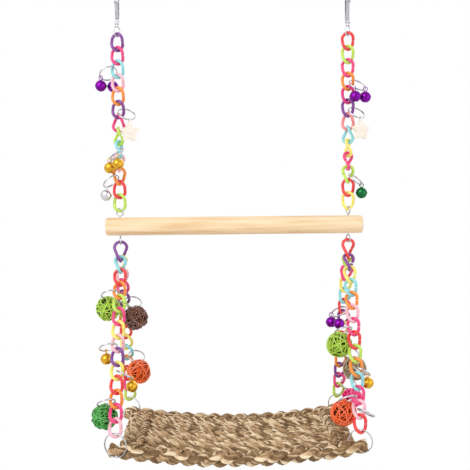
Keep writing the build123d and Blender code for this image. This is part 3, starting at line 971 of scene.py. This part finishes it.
# %% Sagging lines
mat_sag = 11.5 * MM
row_diameter = 11.0 * MM
row_spacing = 10.2 * MM
braid_diameter = 18.0 * MM
braid_overrun = 6.0 * MM
braid_lift = 6.0 * MM
panel_inset = 6.0 * MM
panel_half_width = chain_x - panel_inset
braid_y = -corners[0].y
braid_end_z = corners[0].z - corner_ring_radius + braid_lift
sag_radius = (chain_x**2 + mat_sag**2) / (2 * mat_sag)
sag_axis_z = braid_end_z - mat_sag + sag_radius
row_span = 2 * braid_y - braid_diameter - 2 * play - row_diameter
row_count = math.ceil(row_span / row_spacing) + 1
row_pitch = row_span / (row_count - 1)


def sag_point(x, y):
    return Vector((x, y, sag_axis_z - math.sqrt(sag_radius**2 - x**2)))


def sag_line(half_width, y, step):
    """Points from left to right along the sagging mat, about a step apart."""
    count = round(2 * half_width / step)
    return [sag_point(half_width * (2 * number / count - 1), y) for number in range(count + 1)]


print(row_count, "rows,", round(row_pitch / MM, 2), "mm apart")

# %% [markdown]
# The panel is one long rope that goes to and fro, so every row ends in half of the bend that leads to
# the next. A row is three strands of five blades, and the blades are a little fatter than they need to
# be, so that neighbouring rows touch as they do on a mat that is pulled tight.

# %% Rope rows
bend_steps = 4


def row_line(row, step):
    """One row of the mat's long rope, with half of the bend to the next row at each end."""
    y = (row - (row_count - 1) / 2) * row_pitch
    bend = row_pitch / 2
    straight = panel_half_width - bend
    line = sag_line(straight, y, step)
    for end in (-1, 1):
        other = row + 1 if (row % 2 == 0) == (end == 1) else row - 1
        if not 0 <= other < row_count:
            continue
        corner = []
        for number in range(1, bend_steps + 1):
            angle = math.pi / 2 * number / bend_steps
            across = y + (other - row) * bend * (1 - math.cos(angle))
            corner.append(sag_point(end * (straight + bend * math.sin(angle)), across))
        line = line + corner if end == 1 else corner[::-1] + line
    return line


# %% Blades of a laid rope
strand_share = 0.464
strands_in_rope = 3
blades_in_strand = 5
blade_place = 0.6
blade_size = 0.42


def rope_blades(line, diameter, lay, blade_lay, chance, turn=0.0, swell=1.0):
    """Pairs of points and radius for the blades of a laid rope along a line."""
    strand_radius = strand_share * diameter / 2
    blades = []
    for strand in lay_round(line, strands_in_rope, diameter / 2 - strand_radius, lay, turn):
        distance = blade_place * swell * strand_radius
        for blade in lay_round(strand, blades_in_strand, distance, blade_lay, chance.uniform(0, 6)):
            blades.append((blade, blade_size * swell * strand_radius))
    return blades


# %% Panel
panel_hairs = 420
row_swell = 1.07
row_step = 2.4 * MM
row_waver = 1.6 * MM
row_lays = (25 * MM, 31 * MM)
row_blade_lay = 34 * MM
grass = random.Random(seed_of_swing + 1)
row_blades = []
for row in range(row_count):
    line = waver(row_line(row, row_step), grass, row_waver)
    turn = grass.uniform(0, 2 * math.pi)
    lay = grass.uniform(*row_lays)
    row_blades += rope_blades(line, row_diameter, lay, row_blade_lay, grass, turn, row_swell)
panel = make_rope("mat_panel", row_blades, seagrass, grass, hairs=panel_hairs)
print("panel of", len(row_blades), "blades,", len(panel.data.polygons), "faces")

# %% [markdown]
# Each border is a flat plait of three strands that lies along the panel's edge. Its control points
# could be set by hand, but three sine waves, a third of a pitch apart, go over and under each other in
# the same order all the way along. A stitch winds round the seam and draws the braid to the outer row.

# %% Border braids
braid_pitch = 50.0 * MM
braid_swing = 4.9 * MM
braid_cross = 2.6 * MM
plait_radius = 3.9 * MM


def plait(line, facing):
    """Three paths that pass over and under each other along a line."""
    paths = [[], [], []]
    for number, point in enumerate(line):
        along = (line[min(number + 1, len(line) - 1)] - line[max(number - 1, 0)]).normalized()
        across = (facing - along * along.dot(facing)).normalized()
        over = along.cross(across)
        travelled = number * (line[1] - line[0]).length
        for strand, path in enumerate(paths):
            angle = 2 * math.pi * (travelled / braid_pitch + strand / 3)
            sideways = across * braid_swing * math.sin(angle)
            path.append(point + sideways + over * braid_cross * math.sin(2 * angle))
    return paths


# %% The stitch along a seam
lacing_pitch = 12.0 * MM
lacing_width = 5.0 * MM
lacing_height = 6.0 * MM
lacing_step = 1.0 * MM
lacing_radius = 0.9 * MM
lacing_blades = 3
lacing_lay = 16 * MM


def lacing_line(y):
    """The path of the stitch that winds round the seam of a braid and the outer row."""
    path = []
    for point in sag_line(panel_half_width - row_pitch, y, lacing_step):
        angle = 2 * math.pi * point.x / lacing_pitch
        path.append(point + Vector((0, lacing_width * math.sin(angle),
                                    lacing_height * math.cos(angle))))
    return path


# %% Braid pieces
braid_hairs = 110
braid_tuck = 2.0 * MM
braid_step = 2.0 * MM
braid_waver = 1.0 * MM
blades_in_plait = 7
plait_lay = 27 * MM
plait_blade_place = 0.66 * plait_radius
plait_blade_size = 0.34 * plait_radius
for node, side in (("front_braid", -1), ("back_braid", 1)):
    facing = Vector((0, 0.7 * side, 0.72))
    edge = sag_line(chain_x + braid_overrun, side * (braid_y - braid_tuck), braid_step)
    line = waver(edge, grass, braid_waver)
    braid_blades = []
    for path in plait(line, facing):
        turn = grass.uniform(0, 6)
        for blade in lay_round(path, blades_in_plait, plait_blade_place, plait_lay, turn):
            braid_blades.append((blade, plait_blade_size))
    stitch = lacing_line(side * (braid_y - braid_diameter / 2))
    for blade in lay_round(stitch, lacing_blades, lacing_radius, lacing_lay):
        braid_blades.append((blade, lacing_radius))
    make_rope(node, braid_blades, seagrass, grass, hairs=braid_hairs)
print("borders plaited and laced")

# %% [markdown]
# Two thinner ropes run straight across the rows near the ends of the panel and hold them side by side.
# They are laid like the rows, so the same helper makes them, on a line taken from the solid's box.

# %% Side ropes
side_hairs = 60
side_steps = 60
side_lay = 34 * MM
side_blade_lay = 50 * MM
rope_low, rope_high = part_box("side_ropes")
side_z = (rope_low.z + rope_high.z) / 2
side_diameter = rope_high.z - rope_low.z
side_x = rope_high.x - side_diameter / 2
side_length = rope_high.y - rope_low.y
side_blades = []
for side in (-1, 1):
    line = [Vector((side * side_x, rope_low.y + side_length * number / side_steps, side_z))
            for number in range(side_steps + 1)]
    side_blades += rope_blades(line, side_diameter, side_lay, side_blade_lay, grass)
make_rope("side_ropes", side_blades, seagrass, grass, hairs=side_hairs)
print("mat laid")
